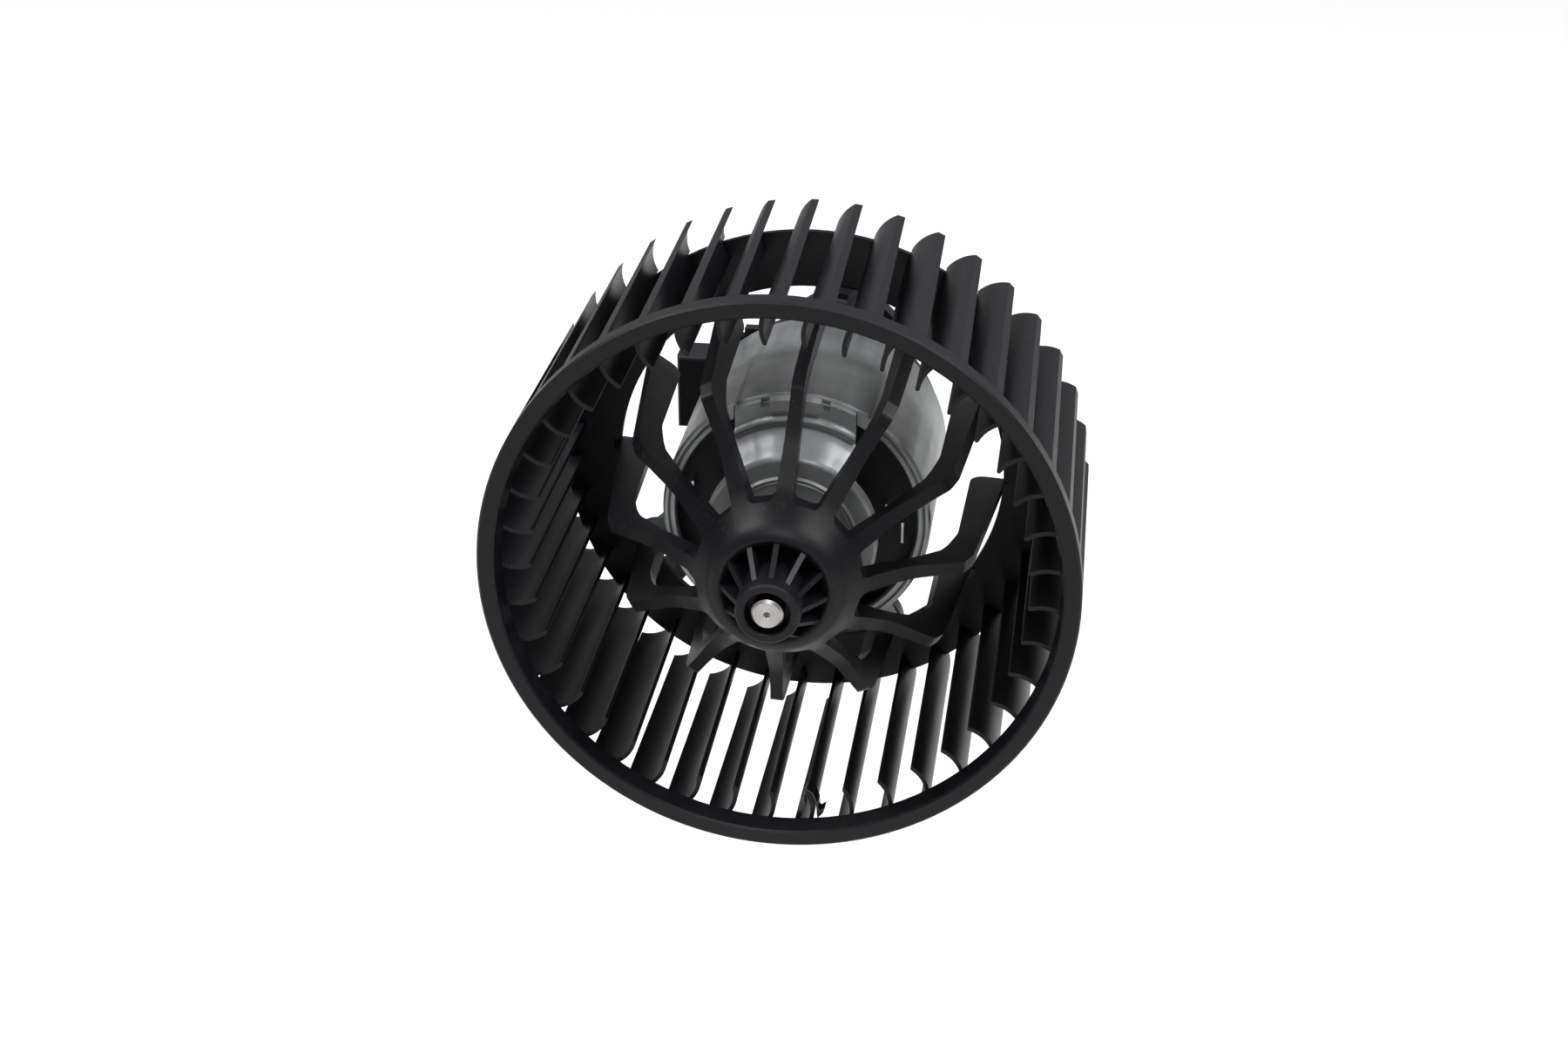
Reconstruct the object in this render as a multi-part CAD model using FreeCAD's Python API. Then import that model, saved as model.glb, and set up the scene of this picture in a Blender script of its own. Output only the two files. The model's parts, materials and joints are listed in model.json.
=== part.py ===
"""Heater blower: a one-piece moulded fan wheel pressed on the shaft of a short DC motor.

The axis is Y.  The inlet faces -Y and the holder's mounting face is the plane y = 0.  Z is up.
Stations along the axis are depths behind the inlet face; behind() turns a depth into a y value.
Angles about the axis run from +X towards +Z.
"""
import FreeCAD, Part
import math
import os
from FreeCAD import Vector

# Fan wheel
INLET_DEPTH = 100.0
WHEEL_RADIUS = 75.0
WHEEL_LENGTH = 75.3
INLET_RING_LENGTH = 5.0
INLET_RADIUS = 70.6
BLADE_COUNT = 41
BLADE_THICKNESS = 1.1
BLADE_INNER_RADIUS = 62.0
BLADE_TIP_RADIUS = 74.5
BLADE_LEAN = 4.2
FIRST_BLADE_ANGLE = 150.06
CLIPPED_BLADE = 27
BACK_PLATE_DEPTH = 71.3
BACK_PLATE_THICKNESS = 1.6
BACK_PLATE_RADIUS = 67.1
BACK_PLATE_OPENING = 52.0
SPOKE_COUNT = 12
SPOKE_THICKNESS = 3.2
SPOKE_ROOT_THICKNESS = 4.4
FIRST_SPOKE_ANGLE = -3.5
KNEE_RADIUS = 47.5
KNEE_DEPTH = 31.0
HUB_NOSE_DEPTH = -14.0
HUB_EDGE = (24.5, 9.6)
HUB_WINDOW_RADIUS = 20.9
HUB_REAR_DEPTH = 14.0
BOSS_RADIUS = 8.0
CLIP_SHEET = 0.5

# Rotor inside the motor
SHAFT_RADIUS = 4.0
SHAFT_REAR_DEPTH = 98.0
ARMATURE_RADIUS = 28.9
CORE_FRONT_DEPTH = 54.0
CORE_REAR_DEPTH = 84.0
SLOT_COUNT = 12
SLOT_RADIUS = 4.2
SLOT_CENTRE_RADIUS = 21.5
COIL_OVERHANG = 5.0
COMMUTATOR_RADIUS = 10.5
COMMUTATOR_FRONT_DEPTH = 36.0
COMMUTATOR_REAR_DEPTH = 48.0

# Motor
CAN_RADIUS = 35.0
CAN_WALL = 1.5
CAN_MOUTH_RADIUS = 31.4
CAN_FRONT_DEPTH = 40.0
CAN_REAR_DEPTH = 95.0
SHEET = 1.5
BRACKET_DEPTH = 27.0
BRACKET_RADIUS = 22.5
ARM_WIDTH = 31.0
BEARING_RADIUS = 8.5
BEARING_FRONT_DEPTH = 22.5
BEARING_REAR_DEPTH = 32.0
REAR_BEARING_RADIUS = 7.5
REAR_BEARING_DEPTH = 91.0
RUNNING_CLEARANCE = 0.03
MAGNET_INNER_RADIUS = 29.5
BRUSH_CARD_DEPTH = 46.5
BRUSH_WIDTH = 5.0
BRUSH_HEIGHT = 7.0
BRUSH_DEPTH = 41.5
BRUSH_OUTER_END = 20.0
BRUSH_BOX_START = 13.0
BRUSH_BOX_END = 26.0
BRUSH_GUIDE_CLEARANCE = 0.15
BRUSH_CLEARANCE = 0.3

# Rear holder
HOLDER_RADIUS = 33.0
HOLDER_FRONT_DEPTH = 95.0
LOBE_RADIUS = 17.8
LOBE_CENTRE = (5.8, 23.4)
EAR_CENTRES = [(-47.0, -42.0), (14.0, -60.0)]
EAR_PAD_RADIUS = 10.0
EAR_HOLE_RADIUS = 2.75
BUSH_RADIUS = 4.5
SPIGOT_RADIUS = 14.0
SPIGOT_LENGTH = 6.0
HOLDER_SCREW_CIRCLE = 22.0
HOLDER_SCREW_RADIUS = 2.0
HOLDER_SCREW_COUNT = 3
FIRST_HOLDER_SCREW_ANGLE = 30.0
CONNECTOR_WIDTH = (-38.5, -30.0)
CONNECTOR_HEIGHT = (3.8, 24.8)
CONNECTOR_FRONT_DEPTH = 84.0
CONNECTOR_STEP_DEPTH = 94.6
CONNECTOR_REAR_DEPTH = 104.0
SOCKET_WIDTH = (-37.4, -33.6)
SOCKET_HEIGHT = (7.6, 18.8)
SOCKET_FLOOR_DEPTH = 95.6

AXIS = Vector(0, 1, 0)
CENTRE = Vector(0, 0, 0)


def behind(depth):
    """The y value of a station at this depth behind the inlet face."""
    return depth - INLET_DEPTH


def around(shape, angle):
    """A copy of the shape turned about the axis, from +X towards +Z."""
    copy = shape.copy()
    copy.rotate(CENTRE, AXIS, -angle)
    return copy


def moved(shape, x, y, z):
    """A copy of the shape shifted along the three axes."""
    copy = shape.copy()
    copy.translate(Vector(x, y, z))
    return copy


def ring_of(shape, count, first=0.0):
    """The shape repeated evenly about the axis, as separate solids."""
    return Part.Compound([around(shape, first + 360.0 * i / count) for i in range(count)])


def turned(points):
    """The solid swept about the axis by a closed outline of (radius, depth) points."""
    corners = [Vector(r, behind(d), 0) for r, d in points]
    return Part.Face(Part.makePolygon(corners + corners[:1])).revolve(CENTRE, AXIS, 360)


def lines(points):
    """Straight edges through (radius, depth) points."""
    return Part.makePolygon([Vector(r, behind(d), 0) for r, d in points]).Edges


def curve(points):
    """One smooth edge through (radius, depth) points."""
    spline = Part.BSplineCurve()
    spline.interpolate([Vector(r, behind(d), 0) for r, d in points])
    return [spline.toShape()]


def swept(edges):
    """The solid swept about the axis by a closed outline of edges."""
    return Part.Face(Part.Wire(edges)).revolve(CENTRE, AXIS, 360)


def tube(outer, inner, front, rear):
    """A plain tube between two depths."""
    return turned([(inner, front), (outer, front), (outer, rear), (inner, rear)])


def disc(radius, front, rear):
    """A solid cylinder on the axis between two depths."""
    return Part.makeCylinder(radius, rear - front, Vector(0, behind(front), 0), AXIS)


def block(x, z, front, rear):
    """A box from the spans (low, high) of x and z, between two depths."""
    return Part.makeBox(x[1] - x[0], rear - front, z[1] - z[0], Vector(x[0], behind(front), z[0]))


def polar(radius, angle):
    """The point at this radius and angle about the axis."""
    return Vector(radius * math.cos(math.radians(angle)), 0, radius * math.sin(math.radians(angle)))


def corner_round(before, here, after, radius):
    """Start, middle and end of the arc that rounds one corner of an outline."""
    if radius == 0:
        return here, None, here
    back = (before - here).normalize()
    ahead = (after - here).normalize()
    half = back.getAngle(ahead) / 2
    inward = (back + ahead).normalize()
    reach = radius / math.tan(half)
    middle = here + inward * (radius / math.sin(half) - radius)
    return here + back * reach, middle, here + ahead * reach


def rounded_outline(corners):
    """A closed wire through (x, y, rounding radius) corners in the XY plane."""
    points = [Vector(x, y, 0) for x, y, radius in corners]
    count = len(corners)
    arcs = []
    for i, corner in enumerate(corners):
        arcs.append(corner_round(points[i - 1], points[i], points[(i + 1) % count], corner[2]))
    edges = []
    for i, (start, middle, end) in enumerate(arcs):
        if middle:
            edges.append(Part.Arc(start, middle, end).toShape())
        edges.append(Part.makeLine(end, arcs[(i + 1) % count][0]))
    return Part.Wire(edges)


def radial_plate(corners, thickness):
    """A flat plate in the plane of the axis and +X, from (radius, depth, rounding) corners."""
    outline = rounded_outline([(r, behind(d), rounding) for r, d, rounding in corners])
    plate = Part.Face(outline).extrude(Vector(0, 0, thickness))
    return moved(plate, 0, 0, -thickness / 2)


def prism(corners, front, rear):
    """A prism along the axis between two depths, from (x, z, rounding) corners."""
    solid = Part.Face(rounded_outline(corners)).extrude(Vector(0, 0, rear - front))
    solid.rotate(CENTRE, Vector(1, 0, 0), 90)
    return moved(solid, 0, behind(rear), 0)


# ---------------------------------------------------------------- fan wheel

def inlet_ring():
    """The front ring, bevelled at its edges and tapering inwards to the blades."""
    bevel = 0.5
    return turned([
        (INLET_RADIUS + bevel, 0), (WHEEL_RADIUS - bevel, 0), (WHEEL_RADIUS, bevel),
        (WHEEL_RADIUS, INLET_RING_LENGTH), (INLET_RADIUS - 1.0, INLET_RING_LENGTH), (INLET_RADIUS, bevel),
    ])


def fan_blade():
    """One forward-curved blade, tip on +X: full depth up to the back plate, then only its outer part."""
    half = BLADE_THICKNESS / 2
    tip = polar(WHEEL_RADIUS + 0.8, -0.9)
    belly = polar(70.4, BLADE_LEAN - 0.25)
    root = polar(BLADE_INNER_RADIUS + half, BLADE_LEAN)
    camber = Part.Arc(tip, belly, root).toShape().Curve

    def beside(point, offset):
        return camber.Center + (point - camber.Center).normalize() * (camber.Radius + offset)

    section = Part.Wire([
        Part.Arc(beside(tip, half), beside(belly, half), beside(root, half)).toShape(),
        Part.Arc(beside(root, half), root - polar(half, BLADE_LEAN), beside(root, -half)).toShape(),
        Part.Arc(beside(root, -half), beside(belly, -half), beside(tip, -half)).toShape(),
        Part.makeLine(beside(tip, -half), beside(tip, half)),
    ])
    length = WHEEL_LENGTH - INLET_RING_LENGTH
    blade = moved(Part.Face(section).extrude(AXIS * length), 0, behind(INLET_RING_LENGTH), 0)
    envelope = turned([
        (0, INLET_RING_LENGTH), (WHEEL_RADIUS, INLET_RING_LENGTH),
        (BLADE_TIP_RADIUS, WHEEL_LENGTH), (0, WHEEL_LENGTH),
    ])
    return blade.common(envelope).cut(disc(BACK_PLATE_RADIUS, BACK_PLATE_DEPTH, WHEEL_LENGTH + 1)).Solids[0]


def back_plate():
    """The flat ring at the motor end, inside the blades' rear ends."""
    rear = BACK_PLATE_DEPTH + BACK_PLATE_THICKNESS
    return tube(BACK_PLATE_RADIUS, BACK_PLATE_OPENING, BACK_PLATE_DEPTH, rear)


def spoke_arm():
    """The leaning part of a spoke, from the hub out to the knee, thickest at its root."""
    arm = radial_plate([
        (23.0, 8.2, 0), (32.0, 16.6, 20), (45.0, 22.4, 3), (47.0, 27.0, 3), (KNEE_RADIUS, KNEE_DEPTH, 0),
        (40.2, KNEE_DEPTH, 0), (38.8, 27.6, 5), (32.0, 21.0, 20), (20.0, 12.5, 0), (20.0, 9.0, 0),
    ], SPOKE_ROOT_THICKNESS)
    root = SPOKE_ROOT_THICKNESS / 2
    tip = SPOKE_THICKNESS / 2
    taper = prism([(18, -root, 0), (22, -root, 0), (40, -tip, 0), (50, -tip, 0), (50, tip, 0), (40, tip, 0),
                   (22, root, 0), (18, root, 0)], 0, KNEE_DEPTH + 1)
    return max(arm.common(taper).cut(hub_blank()).Solids, key=lambda solid: solid.Volume)


def spoke_fin():
    """The part of a spoke that runs back beside the motor to the back plate."""
    far = BACK_PLATE_DEPTH + 2.7
    fin = radial_plate([
        (KNEE_RADIUS, KNEE_DEPTH, 0), (BACK_PLATE_OPENING, BACK_PLATE_DEPTH - 0.8, 0),
        (BACK_PLATE_OPENING + 2, BACK_PLATE_DEPTH, 0), (BACK_PLATE_OPENING + 2, far, 0), (43.2, far, 4),
        (42.2, 38.0, 12), (40.2, KNEE_DEPTH, 0),
    ], SPOKE_THICKNESS)
    return max(fin.cut(back_plate()).Solids, key=lambda solid: solid.Volume)


def hub_blank():
    """The dome-shaped hub before it is scalloped: a nose boss inside a ring-shaped hollow."""
    floor = 2.5
    dome = [(11.2, 1.2), (12.2, -1.4), (14.2, -2.5), (16.4, -1.4), (18.6, 1.6), (21.0, 5.4), HUB_EDGE]
    lining = [(23.2, 11.0), (20.2, 8.2), (17.4, 4.6), (14.4, 4.4)]
    boss = [
        (9.0, 6.0), (9.0, HUB_REAR_DEPTH), (SHAFT_RADIUS, HUB_REAR_DEPTH), (SHAFT_RADIUS, -9.0), (5.6, -9.0),
        (5.6, HUB_NOSE_DEPTH + 0.3), (5.9, HUB_NOSE_DEPTH), (BOSS_RADIUS - 0.5, HUB_NOSE_DEPTH),
        (BOSS_RADIUS, HUB_NOSE_DEPTH + 0.5), (BOSS_RADIUS + 0.4, floor), (10.4, floor), dome[0],
    ]
    edges = lines(boss) + curve(dome) + lines([dome[-1], lining[0]]) + curve(lining)
    return swept(edges + lines([lining[-1], boss[0]]))


def hub():
    """The hub, scalloped between the spokes."""
    first = FIRST_SPOKE_ANGLE + 180.0 / SPOKE_COUNT
    return hub_blank().cut(ring_of(hub_window(), SPOKE_COUNT, first)).Solids[0]


def hub_window():
    """The round-cornered cut between two spokes, about +X."""
    corner = HUB_WINDOW_RADIUS
    wide = corner * math.tan(math.radians(180.0 / SPOKE_COUNT)) - SPOKE_ROOT_THICKNESS / 2
    outside = 2 * corner
    flare = outside * math.tan(math.radians(180.0 / SPOKE_COUNT)) - SPOKE_THICKNESS / 2
    corners = [(corner, -wide, 1.8), (corner, wide, 1.8), (outside, flare, 0), (outside, -flare, 0)]
    return prism(corners, HUB_NOSE_DEPTH, HUB_REAR_DEPTH)


def hub_rib():
    """One of the three-cornered ribs that brace the nose boss inside the hub's hollow."""
    foot = BOSS_RADIUS - 0.5
    corners = [(foot, HUB_NOSE_DEPTH + 3.0, 0), (13.4, -2.5, 0), (13.4, 3.0, 0), (foot, 3.0, 0)]
    rib = radial_plate(corners, 1.3)
    return max(rib.cut(hub_blank()).Solids, key=lambda solid: solid.Volume)


def bent_strip(path, front, rear):
    """A strip of clip sheet standing between two depths, bent along (x, z) points."""
    sides = ([], [])
    for i, (x, z) in enumerate(path):
        before = Vector(*path[max(i - 1, 0)])
        after = Vector(*path[min(i + 1, len(path) - 1)])
        along = (after - before).normalize() * (CLIP_SHEET / 2)
        sides[0].append((x - along.y, z + along.x, 0))
        sides[1].append((x + along.y, z - along.x, 0))
    return prism(sides[0] + sides[1][::-1], front, rear)


def blade_clip():
    """A clip sprung over a blade's inner edge near the ring, with one splayed leg and one barbed leg."""
    front = INLET_RING_LENGTH + 0.2
    rear = front + 4.5
    legs = [(66.0, -1.9), (62.8, -1.2), (61.3, -0.1), (62.4, 1.1), (65.6, 1.95), (69.0, 1.75)]
    splay = [(64.4, -1.2, 0), (66.4, -3.0, 0), (70.2, -4.2, 0), (69.6, -3.0, 0), (66.6, -1.3, 0)]
    barb = [(70.0, 1.5, 0), (68.4, 3.2, 0), (66.6, 4.0, 0), (67.5, 2.7, 0), (66.8, 1.8, 0)]
    tips = [prism(splay, front, rear), prism(barb, front, rear - 1.5)]
    return bent_strip(legs, front, rear).multiFuse(tips)


def plate_clip():
    """A clip folded over the back plate's inner edge, its legs cut out at one side."""
    width = 5.0
    grip = 0.9
    length = 4.9
    gap = BACK_PLATE_THICKNESS + 0.1
    outer = gap + 2 * CLIP_SHEET
    start = BACK_PLATE_OPENING + grip - length
    middle = BACK_PLATE_DEPTH + BACK_PLATE_THICKNESS / 2
    across = (-width / 2, width / 2)
    shell = block((start, start + length), across, middle - outer / 2, middle + outer / 2)
    slot = block((start + CLIP_SHEET, start + length), across, middle - gap / 2, middle + gap / 2)
    window = block((start + CLIP_SHEET, start + 3.2), (-0.3, width / 2), middle - outer, middle + outer)
    return shell.cut(slot).cut(window)


def balance_clips():
    """The clip on a low blade and the clip on the back plate."""
    blade_angle = FIRST_BLADE_ANGLE - CLIPPED_BLADE * 360.0 / BLADE_COUNT + BLADE_LEAN
    return Part.Compound([around(blade_clip(), blade_angle)] + around(plate_clip(), 79.3).Solids)


# ---------------------------------------------------------------- rotor inside the motor

def shaft():
    """The steel shaft, chamfered at both ends and centre-drilled at the front."""
    front = HUB_NOSE_DEPTH - 0.4
    rear = SHAFT_REAR_DEPTH
    chamfer = 0.6
    neck = SHAFT_RADIUS - chamfer
    return turned([
        (0, front + 1.3), (0.9, front), (neck, front), (SHAFT_RADIUS, front + chamfer),
        (SHAFT_RADIUS, rear - chamfer), (neck, rear), (0, rear),
    ])


def winding_slot(radius):
    """A round bar at one slot's place, as long as the core."""
    return moved(disc(radius, CORE_FRONT_DEPTH, CORE_REAR_DEPTH), SLOT_CENTRE_RADIUS, 0, 0)


def armature_core():
    """The laminated iron core with its round slots and their narrow mouths."""
    core = tube(ARMATURE_RADIUS, SHAFT_RADIUS, CORE_FRONT_DEPTH, CORE_REAR_DEPTH)
    mouth = block((SLOT_CENTRE_RADIUS, ARMATURE_RADIUS + 1), (-1.0, 1.0), CORE_FRONT_DEPTH, CORE_REAR_DEPTH)
    return core.cut(ring_of(winding_slot(SLOT_RADIUS).fuse(mouth), SLOT_COUNT))


def end_winding(root, tip):
    """The rounded ring that the coils make beyond one end of the core."""
    bevel = (tip - root) * 0.35
    outer = [(26.5, root), (26.5, tip - bevel), (24.0, tip)]
    inner = [(16.0, tip), (13.5, tip - bevel), (13.5, root)]
    return turned(outer + inner)


def windings():
    """Copper coil sides in the slots, joined by a ring at each end of the core."""
    sides = ring_of(winding_slot(SLOT_RADIUS - 0.2), SLOT_COUNT).Solids
    rear = end_winding(CORE_REAR_DEPTH, CORE_REAR_DEPTH + COIL_OVERHANG)
    return end_winding(CORE_FRONT_DEPTH, CORE_FRONT_DEPTH - COIL_OVERHANG).multiFuse(sides + [rear])


def armature_insulators():
    """The plastic collars that keep the coils off the shaft at both ends of the core."""
    front = tube(13.0, SHAFT_RADIUS, COMMUTATOR_REAR_DEPTH, CORE_FRONT_DEPTH)
    rear = tube(13.0, SHAFT_RADIUS, CORE_REAR_DEPTH, CORE_REAR_DEPTH + 3.0)
    return Part.Compound([front, rear])


def commutator():
    """The copper bars with a riser at the winding end, cut apart by narrow slots."""
    front = COMMUTATOR_FRONT_DEPTH
    rear = COMMUTATOR_REAR_DEPTH
    sleeve = 6.0
    riser = COMMUTATOR_RADIUS + 1.5
    bars = turned([
        (sleeve, front), (COMMUTATOR_RADIUS, front), (COMMUTATOR_RADIUS, rear - 1.5), (riser, rear - 1.5),
        (riser, rear), (sleeve, rear),
    ])
    gap = block((COMMUTATOR_RADIUS - 2.5, riser + 1), (-0.3, 0.3), front, rear)
    return bars.cut(ring_of(gap, SLOT_COUNT, 15.0))


def commutator_sleeve():
    """The moulded sleeve between the commutator bars and the shaft."""
    return tube(6.0, SHAFT_RADIUS, COMMUTATOR_FRONT_DEPTH, COMMUTATOR_REAR_DEPTH)


def thrust_washers():
    """Thin washers on the shaft inside each bearing."""
    front = tube(6.5, SHAFT_RADIUS, BEARING_REAR_DEPTH + 0.5, BEARING_REAR_DEPTH + 1.5)
    rear = tube(6.5, SHAFT_RADIUS, REAR_BEARING_DEPTH - 2.0, REAR_BEARING_DEPTH - 1.0)
    return Part.Compound([front, rear])


# ---------------------------------------------------------------- motor

def motor_can():
    """The deep-drawn steel can, with a beaded rim in front and a bearing cup behind."""
    front = CAN_FRONT_DEPTH
    rear = CAN_REAR_DEPTH
    mouth = CAN_MOUTH_RADIUS
    inside = CAN_RADIUS - CAN_WALL
    cup_end = rear + 4.0
    shell = turned([
        (mouth, front + 0.5), (mouth + 0.5, front), (mouth + 1.5, front), (mouth + 1.9, front + 0.35),
        (mouth + 2.3, front), (CAN_RADIUS - 0.6, front), (CAN_RADIUS, front + 0.6),
        (CAN_RADIUS, rear - 3.5), (CAN_RADIUS - 1.0, rear - 1.0), (CAN_RADIUS - 3.5, rear), (10.5, rear),
        (9.0, rear + 1.0), (9.0, cup_end), (6.0, cup_end), (6.0, cup_end - 1.0),
        (REAR_BEARING_RADIUS, cup_end - 1.0), (REAR_BEARING_RADIUS, rear - CAN_WALL),
        (inside - 2.5, rear - CAN_WALL), (inside - 0.7, rear - 2.4), (inside, rear - 4.2),
        (inside, front + 2.0), (mouth, front + 2.0),
    ])
    return shell.cut(holder_screw_places(disc(HOLDER_SCREW_RADIUS, rear - 3.0, rear + 1.0)))


def bracket_pressing():
    """The whole stepped pressing before its sides are cut away, as a full turn."""
    top = BRACKET_DEPTH
    rim = CAN_FRONT_DEPTH
    face = rim - SHEET
    cone = [(BRACKET_RADIUS - 0.9, top), (BRACKET_RADIUS, top + 0.35), (BRACKET_RADIUS + 0.7, top + 1.3),
            (24.7, top + 4.4), (26.6, top + 8.4), (27.6, face - 0.8), (28.1, face - 1.5),
            (28.7, face - 1.75), (29.3, face - 1.3), (29.9, face)]
    inside = [(28.7, rim), (26.3, top + 10.2), (23.6, top + 6.2), (21.4, top + SHEET)]
    outer = [
        (BEARING_RADIUS, BEARING_FRONT_DEPTH), (10.0, BEARING_FRONT_DEPTH), (11.5, top + 0.3),
        (15.7, top + 0.3), (15.9, top - 0.4), (16.35, top + 0.1),
        (16.9, top), (17.15, top - 0.7), (17.7, top), cone[0],
    ]
    inner = [
        inside[-1], (10.4, top + SHEET), (10.4, BEARING_REAR_DEPTH),
        (BEARING_RADIUS, BEARING_REAR_DEPTH), outer[0],
    ]
    flange = [cone[-1], (33.8, face), (34.3, face + 0.5), (34.3, rim), inside[0]]
    return swept(lines(outer) + curve(cone) + lines(flange) + curve(inside) + lines(inner))


def front_bracket():
    """The pressed bridge across the can's mouth: a stepped bearing plate with two wide, notched arms."""
    front = BEARING_FRONT_DEPTH
    rim = CAN_FRONT_DEPTH
    half = ARM_WIDTH / 2
    arms = block((-half, half), (-CAN_RADIUS, CAN_RADIUS), front, rim)
    bridge = bracket_pressing().common(arms.fuse(disc(BRACKET_RADIUS, front, rim)))
    for side in (-1, 1):
        notch = block((side * 7.8 - 1.1, side * 7.8 + 1.1), (31.2, CAN_RADIUS), front, rim)
        bridge = bridge.cut(notch).cut(around(notch, 180))
    return bridge.Solids[0]


def crimp_tabs():
    """The can's lips: a wide one over each arm of the bracket, and a narrow one on each side of it."""
    face = CAN_FRONT_DEPTH - SHEET
    lip = turned([
        (30.4, face - 0.2), (30.8, face - 0.8), (33.9, face - 0.8), (34.9, face + 0.2),
        (34.9, CAN_FRONT_DEPTH), (34.3, CAN_FRONT_DEPTH), (34.3, face + 0.5), (33.8, face), (30.4, face),
    ])
    lips = [lip.common(block((-6.4, 6.4), (0, CAN_RADIUS), face - 2, CAN_FRONT_DEPTH))]
    side_lip = tube(34.9, 31.8, face + 0.1, CAN_FRONT_DEPTH)
    for span in ((-18.6, -15.8), (15.8, 18.6)):
        lips.append(side_lip.common(block(span, (0, CAN_RADIUS), face, CAN_FRONT_DEPTH)))
    return Part.Compound(lips + [around(piece, 180) for piece in lips])


def front_bearing():
    """The sintered bearing pressed into the bracket."""
    return tube(BEARING_RADIUS, SHAFT_RADIUS + RUNNING_CLEARANCE, BEARING_FRONT_DEPTH, BEARING_REAR_DEPTH)


def rear_bearing():
    """The sintered bearing in the can's rear cup."""
    bore = SHAFT_RADIUS + RUNNING_CLEARANCE
    return tube(REAR_BEARING_RADIUS, bore, REAR_BEARING_DEPTH, CAN_REAR_DEPTH + 3.0)


def bearing_retainer():
    """The slit spring washer that holds the rear bearing in its cup."""
    rear = CAN_REAR_DEPTH - CAN_WALL
    washer = tube(13.0, REAR_BEARING_RADIUS, rear - 0.6, rear)
    slit = block((REAR_BEARING_RADIUS - 1, 11.0), (-0.7, 0.7), rear - 1, rear + 1)
    return washer.cut(ring_of(slit, 6))


def magnets():
    """Two ferrite magnet arcs glued inside the can, one on each side."""
    front = CORE_FRONT_DEPTH - 4
    rear = CORE_REAR_DEPTH + 4
    shell = tube(CAN_RADIUS - CAN_WALL, MAGNET_INNER_RADIUS, front, rear)
    return shell.cut(block((-16.0, 16.0), (-CAN_RADIUS, CAN_RADIUS), front, rear))


def magnet_springs():
    """The two flat springs wedged between the magnets' ends."""
    inside = CAN_RADIUS - CAN_WALL
    shell = tube(inside, inside - 0.8, CORE_FRONT_DEPTH, CORE_REAR_DEPTH)
    return shell.common(block((-15.0, 15.0), (-CAN_RADIUS, CAN_RADIUS), CORE_FRONT_DEPTH, CORE_REAR_DEPTH))


def brush_card():
    """The plastic plate inside the can's mouth, with a raised rail on each side of both brushes."""
    card = tube(CAN_RADIUS - CAN_WALL, 14.0, BRUSH_CARD_DEPTH, BRUSH_CARD_DEPTH + 2.5)
    inner = BRUSH_WIDTH / 2 + 1.2
    rails = []
    for span in ((inner, inner + 1.5), (-inner - 1.5, -inner)):
        rail = block((15.0, 26.0), span, BRUSH_CARD_DEPTH - 6.0, BRUSH_CARD_DEPTH)
        rails += [around(rail, 90), around(rail, -90)]
    return card.multiFuse(rails)


def brush_box():
    """The thin brass sleeve that guides the brush on +X."""
    wide = BRUSH_WIDTH / 2 + BRUSH_GUIDE_CLEARANCE
    tall = BRUSH_HEIGHT / 2 + BRUSH_GUIDE_CLEARANCE
    wall = 0.6
    front = BRUSH_DEPTH - tall
    rear = BRUSH_DEPTH + tall
    box = block((BRUSH_BOX_START, BRUSH_BOX_END), (-wide - wall, wide + wall), front - wall, rear + wall)
    return box.cut(block((BRUSH_BOX_START, BRUSH_BOX_END - wall), (-wide, wide), front, rear))


def carbon_brush():
    """The carbon block on +X, hollowed at its inner end to the commutator's curve."""
    wide = BRUSH_WIDTH / 2
    tall = BRUSH_HEIGHT / 2
    brush = block((9.0, BRUSH_OUTER_END), (-wide, wide), BRUSH_DEPTH - tall, BRUSH_DEPTH + tall)
    bars = disc(COMMUTATOR_RADIUS + BRUSH_CLEARANCE, COMMUTATOR_FRONT_DEPTH, COMMUTATOR_REAR_DEPTH)
    return brush.cut(bars).Solids[0]


def brush_spring():
    """The coil spring that presses the brush on +X towards the commutator."""
    wire = 0.25
    coil = 1.8
    turns = 5
    length = BRUSH_BOX_END - 0.6 - BRUSH_OUTER_END - 2 * wire
    helix = Part.makeHelix(length / turns, length, coil)
    start = Part.Wire(Part.makeCircle(wire, Vector(coil, 0, 0), Vector(0, 1, 0)))
    spring = Part.Wire(helix.Edges).makePipeShell([start], True, True)
    spring.rotate(CENTRE, Vector(0, 1, 0), 90)
    return moved(spring, BRUSH_OUTER_END + wire, behind(BRUSH_DEPTH), 0)


def terminals():
    """Tinned blades that stand on the card in the open sides of the mouth."""
    thick = 0.6
    front = BRUSH_CARD_DEPTH - 3.5
    near = block((27.2, 27.2 + thick), (-7.2, -1.4), front, BRUSH_CARD_DEPTH)
    far = block((22.8, 22.8 + thick), (-0.4, 3.2), front + 1.0, BRUSH_CARD_DEPTH)
    return Part.Compound([near, far, around(near, 180), around(far, 180)])


# ---------------------------------------------------------------- rear holder

def ear(x, z):
    """One long ear of the holder from the plate's rim to a round pad about a screw hole."""
    front = HOLDER_FRONT_DEPTH
    pad = moved(disc(EAR_PAD_RADIUS, front, INLET_DEPTH), x, 0, z)
    half = EAR_PAD_RADIUS * 0.8
    web = block((0, math.hypot(x, z)), (-half, half), front, INLET_DEPTH)
    whole = around(web, math.degrees(math.atan2(z, x))).fuse(pad).removeSplitter()
    hole = moved(disc(BUSH_RADIUS, front, INLET_DEPTH), x, 0, z)
    return whole.cut(disc(HOLDER_RADIUS, front, INLET_DEPTH)).cut(hole).Solids[0]


def holder_ears():
    """The holder's two long ears, low on the left and below the motor."""
    return Part.Compound([ear(x, z) for x, z in EAR_CENTRES])


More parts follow.
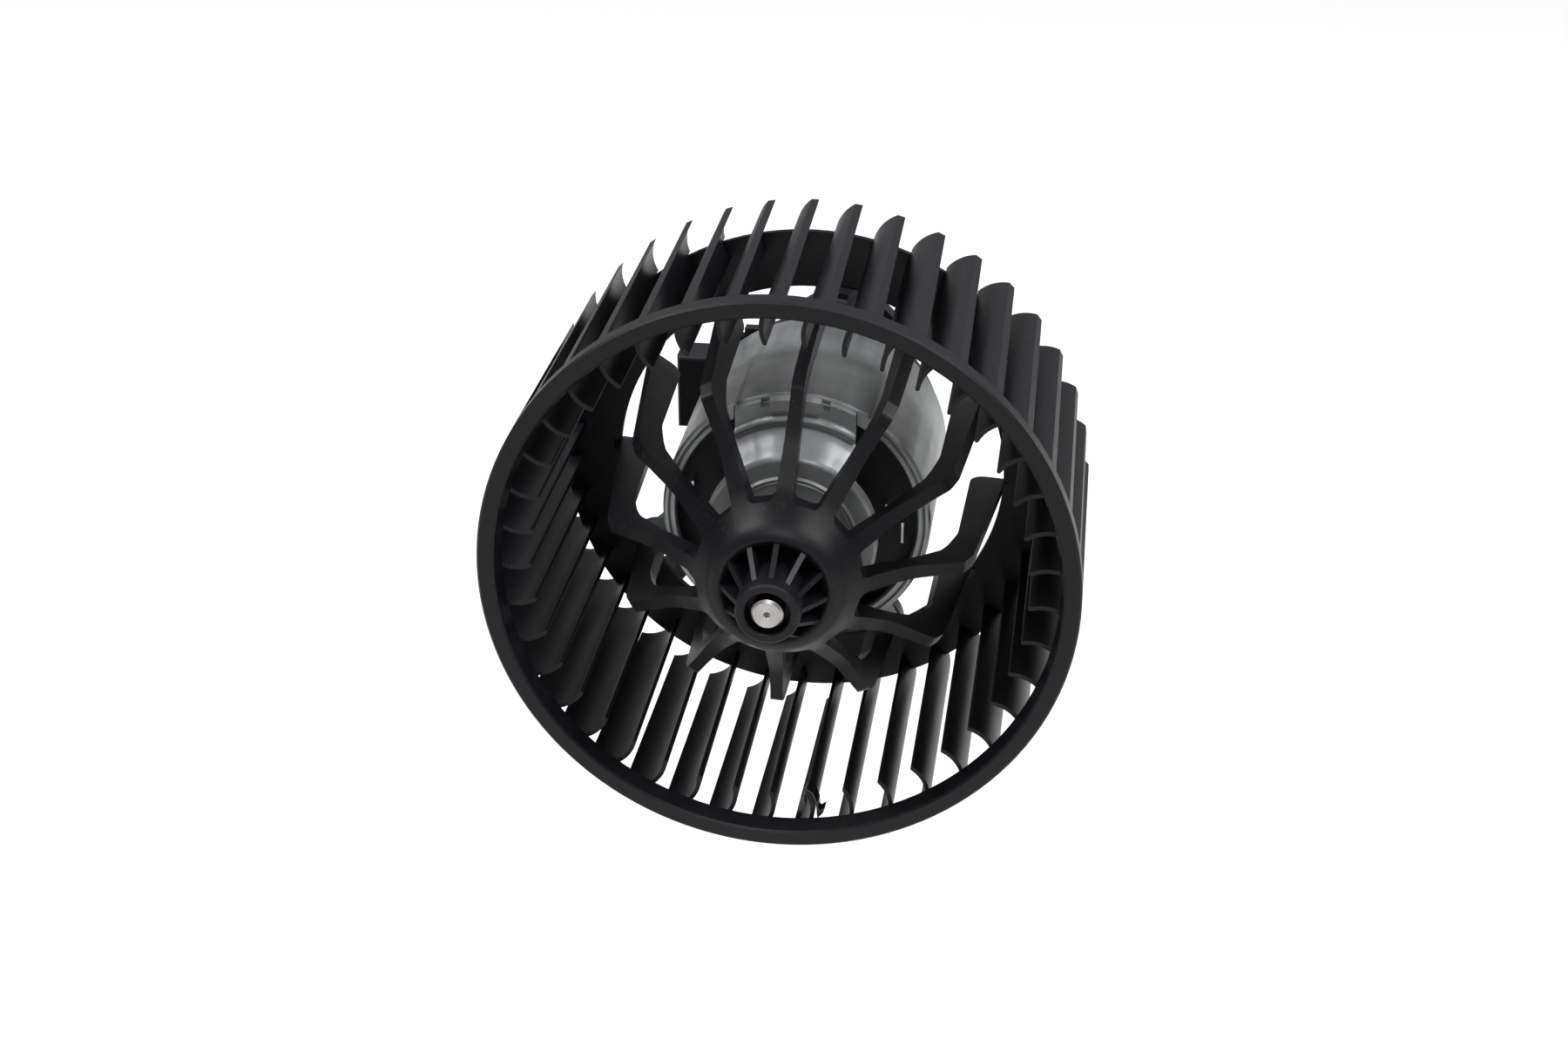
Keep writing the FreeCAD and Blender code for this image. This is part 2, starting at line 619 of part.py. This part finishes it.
def holder_plate():
    """The moulded plate behind the can, with a top lobe and a locating spigot."""
    front = HOLDER_FRONT_DEPTH
    rear = INLET_DEPTH
    lobe = moved(disc(LOBE_RADIUS, front, rear), LOBE_CENTRE[0], 0, LOBE_CENTRE[1])
    spigot = disc(SPIGOT_RADIUS, rear, rear + SPIGOT_LENGTH)
    solid = disc(HOLDER_RADIUS, front, rear).multiFuse([lobe, spigot])
    cup = disc(9.4, front, rear + 0.4).fuse(disc(11.0, front, front + 1.4))
    sink = disc(HOLDER_SCREW_RADIUS + 0.2, front, rear).fuse(disc(4.2, rear - 2.2, rear))
    return solid.cut(cup).cut(holder_screw_places(sink)).removeSplitter().Solids[0]


def holder_screw_places(shape):
    """A shape made on the axis, repeated at the places of the holder's screws."""
    return ring_of(moved(shape, HOLDER_SCREW_CIRCLE, 0, 0), HOLDER_SCREW_COUNT, FIRST_HOLDER_SCREW_ANGLE)


def holder_screws():
    """Three pan-head screws that fasten the holder to the can's rear wall."""
    seat = INLET_DEPTH - 2.2
    shank = disc(HOLDER_SCREW_RADIUS, CAN_REAR_DEPTH - 2.5, seat)
    head = disc(3.9, seat, INLET_DEPTH - 0.3)
    recess = block((-0.5, 0.5), (-2.4, 2.4), INLET_DEPTH - 1.4, INLET_DEPTH)
    return holder_screw_places(shank.fuse(head).cut(recess).cut(around(recess, 90)))


def fixing_bushes():
    """Rubber bushes in the ears' screw holes, each with a collar on the front."""
    front = HOLDER_FRONT_DEPTH
    sleeve = tube(BUSH_RADIUS, EAR_HOLE_RADIUS, front - 1.2, INLET_DEPTH)
    bush = sleeve.fuse(tube(BUSH_RADIUS + 1.5, EAR_HOLE_RADIUS, front - 1.2, front))
    return Part.Compound([moved(bush, x, 0, z) for x, z in EAR_CENTRES])


def snap_arm():
    """The holder's slit arm, a square corner that stands beside the can's shoulder."""
    front = HOLDER_FRONT_DEPTH + 0.3
    rear = front + 3.3
    arm = block((-25.5, -17.0), (20.0, 29.4), front, rear)
    slit = block((-22.6, -21.4), (27.0, 30.0), front, rear)
    return arm.cut(slit).cut(disc(HOLDER_RADIUS, front, rear)).Solids[0]


def connector_shell():
    """The plug socket beside the can's rear end, tall in front and open to the rear."""
    front = CONNECTOR_FRONT_DEPTH
    step = CONNECTOR_STEP_DEPTH
    rear = CONNECTOR_REAR_DEPTH
    tall = block(CONNECTOR_WIDTH, CONNECTOR_HEIGHT, front, step)
    edges = [edge for edge in tall.Edges if abs(edge.tangentAt(edge.FirstParameter).y) < 0.1
             and edge.CenterOfMass.y < behind(front + 0.1)]
    low = block(CONNECTOR_WIDTH, (CONNECTOR_HEIGHT[0] + 1.6, CONNECTOR_HEIGHT[1] - 4.2), step, rear)
    outside = tall.makeFillet(1.2, edges).fuse(low)
    outside = outside.cut(disc(CAN_RADIUS + 0.2, front, CAN_REAR_DEPTH))
    outside = outside.cut(disc(HOLDER_RADIUS, front, rear))
    socket = block(SOCKET_WIDTH, SOCKET_HEIGHT, SOCKET_FLOOR_DEPTH, rear)
    return max(outside.cut(socket).Solids, key=lambda solid: solid.Volume)


def connector_pins():
    """The two blade terminals inside the plug socket."""
    middle = sum(SOCKET_WIDTH) / 2
    pin = block((middle - 0.4, middle + 0.4), (9.2, 12.0), SOCKET_FLOOR_DEPTH, CONNECTOR_REAR_DEPTH - 1.5)
    return Part.Compound([pin, moved(pin, 0, 0, 5.2)])


def parts():
    """Every sub-part of the blower, by node name."""
    return {
        "inlet_ring": inlet_ring(),
        "fan_blades": ring_of(fan_blade(), BLADE_COUNT, FIRST_BLADE_ANGLE),
        "back_plate": back_plate(),
        "spoke_arms": ring_of(spoke_arm(), SPOKE_COUNT, FIRST_SPOKE_ANGLE),
        "spoke_fins": ring_of(spoke_fin(), SPOKE_COUNT, FIRST_SPOKE_ANGLE),
        "hub": hub(),
        "hub_ribs": ring_of(hub_rib(), SPOKE_COUNT, FIRST_SPOKE_ANGLE),
        "balance_clips": balance_clips(),
        "shaft": shaft(),
        "armature_core": armature_core(),
        "windings": windings(),
        "armature_insulators": armature_insulators(),
        "commutator": commutator(),
        "commutator_sleeve": commutator_sleeve(),
        "thrust_washers": thrust_washers(),
        "motor_can": motor_can(),
        "front_bracket": front_bracket(),
        "crimp_tabs": crimp_tabs(),
        "front_bearing": front_bearing(),
        "rear_bearing": rear_bearing(),
        "bearing_retainer": bearing_retainer(),
        "magnets": magnets(),
        "magnet_springs": magnet_springs(),
        "brush_card": brush_card(),
        "brush_boxes": ring_of(brush_box(), 2, 90.0),
        "brush_top": around(carbon_brush(), 90),
        "brush_bottom": around(carbon_brush(), -90),
        "brush_spring_top": around(brush_spring(), 90),
        "brush_spring_bottom": around(brush_spring(), -90),
        "brush_terminals": terminals(),
        "holder_plate": holder_plate(),
        "holder_ears": holder_ears(),
        "holder_screws": holder_screws(),
        "fixing_bushes": fixing_bushes(),
        "snap_arm": snap_arm(),
        "connector_shell": connector_shell(),
        "connector_pins": connector_pins(),
    }


os.makedirs("parts", exist_ok=True)
for name, shape in parts().items():
    shape.exportStep("parts/" + name + ".step")
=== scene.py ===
"""Looks for the heater blower: materials for every node, studio light, floor and camera."""
import json
import math

import bpy
from mathutils import Matrix, Vector


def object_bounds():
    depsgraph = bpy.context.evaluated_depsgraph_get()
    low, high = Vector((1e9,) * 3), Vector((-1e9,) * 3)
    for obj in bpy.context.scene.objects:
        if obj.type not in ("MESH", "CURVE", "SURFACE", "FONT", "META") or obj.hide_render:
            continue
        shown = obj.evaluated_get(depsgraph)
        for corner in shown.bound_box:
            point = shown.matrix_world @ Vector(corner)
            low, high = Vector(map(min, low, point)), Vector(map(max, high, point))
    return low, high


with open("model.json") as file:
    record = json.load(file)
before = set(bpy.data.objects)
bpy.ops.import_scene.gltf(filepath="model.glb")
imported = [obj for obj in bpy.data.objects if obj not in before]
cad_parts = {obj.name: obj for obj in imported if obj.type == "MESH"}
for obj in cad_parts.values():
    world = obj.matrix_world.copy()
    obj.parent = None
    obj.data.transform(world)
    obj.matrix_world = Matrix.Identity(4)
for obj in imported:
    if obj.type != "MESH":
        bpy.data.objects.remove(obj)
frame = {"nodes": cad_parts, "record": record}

CAD_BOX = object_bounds()

# Camera, in metres, degrees and millimetres of lens and sensor. It looks along its direction
# through the inlet's centre, and is then shifted a little to its right and up.
INLET_CENTRE = Vector((0.0, -0.100, 0.0))
CAMERA_AZIMUTH = 7.645
CAMERA_ELEVATION = 26.175
CAMERA_DISTANCE = 0.62858
CAMERA_RIGHT = 0.002252
CAMERA_UP = 0.016075
CAMERA_LENS = 58.82
CAMERA_SENSOR = 36.0
NEAREST_SEEN = 0.01
FARTHEST_SEEN = 50.0

# Floor: how far it lies below the blower, half its width in metres, its grey and its roughness
FLOOR_DROP = 0.25
FLOOR_REACH = 6.0
FLOOR_GREY = 0.54
FLOOR_ROUGHNESS = 0.9

# Light: the pale room's strength, then each square light's name, place, aim, width and watts
ROOM_STRENGTH = 0.35
LIGHTS = (
    ("left", (-1.8, 0.25, 2.7), (0, 0, 0), 1.5, 150.0),
    ("right", (2.1, 0.25, 2.5), (0, 0, 0), 1.5, 150.0),
    ("front", (0.2, -1.9, 2.2), (0, -0.06, 0), 1.2, 24.0),
)

# Finishes that several materials share, with colours in linear RGB
BLACK_PLASTIC = (0.0042, 0.0042, 0.0056)
DUST = (0.16, 0.16, 0.155)
ZINC = (0.25, 0.255, 0.26)
PLASTIC_SPECULAR = 0.22
TURNED_ANISOTROPY = 0.85

# Relief, in metres: fine tooling or grain, slow unevenness of a moulding, and of drawn sheet
FINE_RELIEF = 0.00002
MOULDED_WAVE = 0.00012
DRAWN_WAVE = 0.0002
GRAIN_RELIEF = 0.00005
SHEET_EDGE_RELIEF = 0.0001
WIRE_RELIEF = 0.0003


# ---------------------------------------------------------------- material helpers

def tinted(colour, factor):
    """The colour made lighter or darker."""
    return tuple(channel * factor for channel in colour)


class Surface:
    """A node material under construction: a Principled shader plus small helpers that wire nodes to it."""

    def __init__(self, name, colour, roughness, metallic=0.0):
        self.material = bpy.data.materials.new(name)
        self.material.use_nodes = True
        self.tree = self.material.node_tree
        self.tree.nodes.clear()
        self.shader = self.add("ShaderNodeBsdfPrincipled")
        self.set("Base Color", (*colour, 1.0))
        self.set("Roughness", roughness)
        self.set("Metallic", metallic)
        output = self.add("ShaderNodeOutputMaterial")
        self.link(self.shader.outputs[0], output.inputs[0])
        self.place = self.add("ShaderNodeTexCoord").outputs["Object"]

    def add(self, kind):
        return self.tree.nodes.new(kind)

    def link(self, source, target):
        self.tree.links.new(source, target)

    def set(self, name, value):
        self.shader.inputs[name].default_value = value

    def noise(self, scale, detail=3.0, stretch=(1, 1, 1)):
        """Noise over object coordinates in metres, stretched along each axis."""
        mapping = self.add("ShaderNodeMapping")
        mapping.inputs["Scale"].default_value = stretch
        self.link(self.place, mapping.inputs["Vector"])
        node = self.add("ShaderNodeTexNoise")
        node.inputs["Scale"].default_value = scale
        node.inputs["Detail"].default_value = detail
        self.link(mapping.outputs[0], node.inputs["Vector"])
        return node.outputs[0]

    def ramp(self, source, low, high, start=0.0, end=1.0):
        """Maps the source's span from start to end onto the span from low to high, clamped."""
        node = self.add("ShaderNodeMapRange")
        node.inputs["From Min"].default_value = start
        node.inputs["From Max"].default_value = end
        node.inputs["To Min"].default_value = low
        node.inputs["To Max"].default_value = high
        self.link(source, node.inputs["Value"])
        return node.outputs[0]

    def blend(self, factor, first, second):
        """A colour between two colours; each may be a colour or a node's output."""
        node = self.add("ShaderNodeMix")
        node.data_type = "RGBA"
        self.link(factor, node.inputs["Factor"])
        for socket, value in ((node.inputs[6], first), (node.inputs[7], second)):
            if isinstance(value, tuple):
                socket.default_value = (*value, 1.0)
            else:
                self.link(value, socket)
        return node.outputs[2]

    def shades(self, source, colour, dark, light, start=0.0, end=1.0):
        """The colour from its dark to its light factor, as the source goes from start to end."""
        factor = self.ramp(source, 0.0, 1.0, start, end)
        return self.blend(factor, tinted(colour, dark), tinted(colour, light))

    def paint(self, source):
        self.link(source, self.shader.inputs["Base Color"])

    def rough(self, source, least, most, start=0.3, end=0.7):
        """Varies the roughness from least to most, as the source goes from start to end."""
        self.link(self.ramp(source, least, most, start, end), self.shader.inputs["Roughness"])

    def bump(self, source, depth, strength=1.0):
        """Raises the surface by up to depth metres where the source is 1; calls add up."""
        node = self.add("ShaderNodeBump")
        node.inputs["Strength"].default_value = strength
        node.inputs["Distance"].default_value = depth
        self.link(source, node.inputs["Height"])
        if self.shader.inputs["Normal"].is_linked:
            self.link(self.shader.inputs["Normal"].links[0].from_socket, node.inputs["Normal"])
        self.link(node.outputs[0], self.shader.inputs["Normal"])


# ---------------------------------------------------------------- kinds of material

def moulded_plastic(name, colour, roughness):
    """Matt black moulding: fine grain, slow roughness changes and a little dust."""
    surface = Surface(name, colour, roughness)
    slow = surface.noise(28.0)
    dust = surface.ramp(surface.noise(900.0, 2.0), 0.0, 1.0, 0.62, 0.85)
    clean = surface.shades(slow, colour, 0.8, 1.25, 0.3, 0.7)
    surface.paint(surface.blend(surface.ramp(dust, 0.0, 0.12), clean, DUST))
    surface.rough(slow, roughness - 0.05, roughness + 0.07, 0.25, 0.75)
    surface.bump(surface.noise(2600.0, 2.0), FINE_RELIEF, 0.5)
    surface.bump(surface.noise(120.0, 2.0), MOULDED_WAVE, 0.25)
    surface.set("Specular IOR Level", PLASTIC_SPECULAR)
    return surface.material


def zinc_sheet(name, colour, roughness, mottle, streak, metallic):
    """Zinc-plated sheet: soft spangle, faint drawing streaks along the axis and some stain."""
    surface = Surface(name, colour, roughness, metallic)
    cells = surface.add("ShaderNodeTexVoronoi")
    cells.inputs["Scale"].default_value = 260.0
    surface.link(surface.place, cells.inputs["Vector"])
    spangle = surface.ramp(cells.outputs["Color"], 1.0 - mottle, 1.0 + mottle)
    streaks = surface.noise(420.0, 4.0, (1.0, 0.06, 1.0))
    stained = surface.shades(surface.noise(45.0, 5.0), colour, 0.74, 1.14, 0.38, 0.62)
    shade = surface.add("ShaderNodeMix")
    shade.data_type = "RGBA"
    shade.blend_type = "MULTIPLY"
    shade.inputs["Factor"].default_value = 1.0
    surface.link(stained, shade.inputs[6])
    surface.link(spangle, shade.inputs[7])
    surface.paint(shade.outputs[2])
    surface.rough(streaks, roughness - streak, roughness + streak)
    surface.bump(streaks, FINE_RELIEF, 0.15)
    surface.bump(surface.noise(70.0, 3.0), DRAWN_WAVE, 0.3)
    return surface.material


def turned_marks(surface):
    """Noise that changes with the distance from the Y axis and along it, but not round it."""
    split = surface.add("ShaderNodeSeparateXYZ")
    surface.link(surface.place, split.inputs[0])
    flat = surface.add("ShaderNodeCombineXYZ")
    surface.link(split.outputs["X"], flat.inputs["X"])
    surface.link(split.outputs["Z"], flat.inputs["Z"])
    length = surface.add("ShaderNodeVectorMath")
    length.operation = "LENGTH"
    surface.link(flat.outputs[0], length.inputs[0])
    radius = surface.add("ShaderNodeCombineXYZ")
    surface.link(length.outputs["Value"], radius.inputs["X"])
    surface.link(split.outputs["Y"], radius.inputs["Y"])
    marks = surface.add("ShaderNodeTexNoise")
    marks.inputs["Scale"].default_value = 5200.0
    marks.inputs["Detail"].default_value = 2.0
    surface.link(radius.outputs[0], marks.inputs["Vector"])
    return marks.outputs[0]


def turned_metal(name, colour, roughness):
    """Bright metal with turning marks round the axis."""
    surface = Surface(name, colour, roughness, 1.0)
    marks = turned_marks(surface)
    surface.paint(surface.shades(surface.noise(300.0), colour, 0.8, 1.15))
    surface.rough(marks, roughness - 0.08, roughness + 0.12)
    surface.bump(marks, FINE_RELIEF, 0.5)
    tangent = surface.add("ShaderNodeTangent")
    tangent.direction_type = "RADIAL"
    tangent.axis = "Y"
    surface.link(tangent.outputs[0], surface.shader.inputs["Tangent"])
    surface.set("Anisotropic", TURNED_ANISOTROPY)
    return surface.material


def plain_metal(name, colour, roughness, grain=600.0):
    """Small metal pieces: slight stain and fine scratches."""
    surface = Surface(name, colour, roughness, 1.0)
    surface.paint(surface.shades(surface.noise(grain * 0.3, 4.0), colour, 0.7, 1.15, 0.35, 0.7))
    surface.rough(surface.noise(grain, 3.0), roughness - 0.08, roughness + 0.12)
    surface.bump(surface.noise(grain * 2.0, 2.0), FINE_RELIEF, 0.4)
    return surface.material


def laminated(name, colour):
    """Stacked iron sheets: fine lines across the axis."""
    surface = Surface(name, colour, 0.5, 0.9)
    sheets = surface.noise(2000.0, 0.0, (0.01, 1.0, 0.01))
    surface.paint(surface.shades(sheets, colour, 0.6, 1.2, 0.4, 0.6))
    surface.bump(sheets, SHEET_EDGE_RELIEF, 0.8)
    return surface.material


def wound_wire(name, colour):
    """Enamelled wire packed side by side."""
    surface = Surface(name, colour, 0.28, 0.85)
    wire = surface.add("ShaderNodeTexWave")
    wire.inputs["Scale"].default_value = 320.0
    wire.inputs["Distortion"].default_value = 1.5
    surface.link(surface.place, wire.inputs["Vector"])
    surface.paint(surface.blend(wire.outputs[1], tinted(colour, 0.4), tinted(colour, 1.2)))
    surface.bump(wire.outputs[1], WIRE_RELIEF, 0.8)
    return surface.material


def granular(name, colour, roughness, grain):
    """Pressed powder, card or rubber: an even fine grain."""
    surface = Surface(name, colour, roughness)
    fine = surface.noise(grain, 3.0)
    surface.paint(surface.shades(fine, colour, 0.65, 1.3, 0.3, 0.7))
    surface.bump(fine, GRAIN_RELIEF, 0.6)
    return surface.material


# ---------------------------------------------------------------- every node's material

def materials():
    """One finished material for each slot of the record."""
    finishes = (
        # slot, colour, roughness
        (moulded_plastic, "wheel_plastic", BLACK_PLASTIC, 0.4),
        (moulded_plastic, "holder_plastic", tinted(BLACK_PLASTIC, 1.1), 0.46),
        (moulded_plastic, "card_plastic", tinted(BLACK_PLASTIC, 1.6), 0.5),
        (turned_metal, "shaft_steel", (0.44, 0.418, 0.396), 0.3),
        (turned_metal, "bare_copper", (0.72, 0.33, 0.19), 0.3),
        (plain_metal, "spring_steel", (0.06, 0.06, 0.064), 0.32),
        (plain_metal, "box_brass", (0.62, 0.44, 0.18), 0.32),
        (plain_metal, "tinned_brass", (0.62, 0.61, 0.58), 0.3),
        # slot, colour, roughness, grain
        (plain_metal, "screw_steel", (0.45, 0.45, 0.45), 0.34, 250.0),
        (granular, "insulation", (0.22, 0.10, 0.035), 0.4, 700.0),
        (granular, "bearing_bronze", (0.30, 0.19, 0.09), 0.42, 1500.0),
        (granular, "ferrite", (0.05, 0.05, 0.053), 0.55, 900.0),
        (granular, "carbon", (0.03, 0.03, 0.031), 0.6, 1400.0),
        (granular, "rubber", (0.012, 0.012, 0.012), 0.7, 800.0),
        # slot, colour, roughness, mottle, streak, metallic
        (zinc_sheet, "can_steel", tinted(ZINC, 1.05), 0.42, 0.05, 0.06, 0.9),
        (zinc_sheet, "bracket_steel", tinted(ZINC, 1.15), 0.4, 0.04, 0.06, 0.55),
        # slot, colour
        (laminated, "core_iron", (0.16, 0.16, 0.165)),
        (wound_wire, "enamelled_copper", (0.42, 0.15, 0.05)),
    )
    return {slot: kind(slot, *values) for kind, slot, *values in finishes}


def dress_nodes():
    """Gives every CAD node its slot's finished material."""
    finished = materials()
    for entry in frame["record"]["subparts"]:
        mesh = frame["nodes"][entry["node"]].data
        mesh.materials.clear()
        mesh.materials.append(finished[entry["material_slot"]])


# ---------------------------------------------------------------- stage

def floor():
    """A plain pale floor well below the blower."""
    lowest = CAD_BOX[0][2] - FLOOR_DROP
    corners = [(x * FLOOR_REACH, y * FLOOR_REACH, lowest) for x, y in ((-1, -1), (1, -1), (1, 1), (-1, 1))]
    mesh = bpy.data.meshes.new("floor")
    mesh.from_pydata(corners, [], [(0, 1, 2, 3)])
    sheet = bpy.data.objects.new("floor", mesh)
    bpy.context.scene.collection.objects.link(sheet)
    mesh.materials.append(Surface("floor", (FLOOR_GREY,) * 3, FLOOR_ROUGHNESS).material)


def area_light(name, place, target, size, power):
    light = bpy.data.lights.new(name, "AREA")
    light.shape = "SQUARE"
    light.size = size
    light.energy = power
    lamp = bpy.data.objects.new(name, light)
    lamp.location = place
    lamp.rotation_euler = (Vector(target) - Vector(place)).to_track_quat("-Z", "Y").to_euler()
    bpy.context.scene.collection.objects.link(lamp)


def lighting():
    """Large soft lights high on both sides and in front, in a pale room."""
    world = bpy.data.worlds.new("room")
    world.use_nodes = True
    background = world.node_tree.nodes["Background"]
    background.inputs[0].default_value = (1.0, 1.0, 1.0, 1.0)
    background.inputs[1].default_value = ROOM_STRENGTH
    bpy.context.scene.world = world
    for values in LIGHTS:
        area_light(*values)


def camera():
    """The view into the inlet, from a little to the right and above."""
    azimuth = math.radians(CAMERA_AZIMUTH)
    elevation = math.radians(CAMERA_ELEVATION)
    back = Vector((math.sin(azimuth) * math.cos(elevation), -math.cos(azimuth) * math.cos(elevation),
                   math.sin(elevation)))
    right = Vector((math.cos(azimuth), math.sin(azimuth), 0.0))
    up = back.cross(right)
    place = INLET_CENTRE + back * CAMERA_DISTANCE + right * CAMERA_RIGHT + up * CAMERA_UP
    data = bpy.data.cameras.new("camera")
    data.lens = CAMERA_LENS
    data.sensor_width = CAMERA_SENSOR
    data.clip_start = NEAREST_SEEN
    data.clip_end = FARTHEST_SEEN
    view = bpy.data.objects.new("camera", data)
    view.matrix_world = Matrix.Translation(place) @ Matrix((right, up, back)).transposed().to_4x4()
    bpy.context.scene.collection.objects.link(view)
    bpy.context.scene.camera = view


dress_nodes()
floor()
lighting()
camera()
bpy.context.scene.view_settings.view_transform = "Standard"
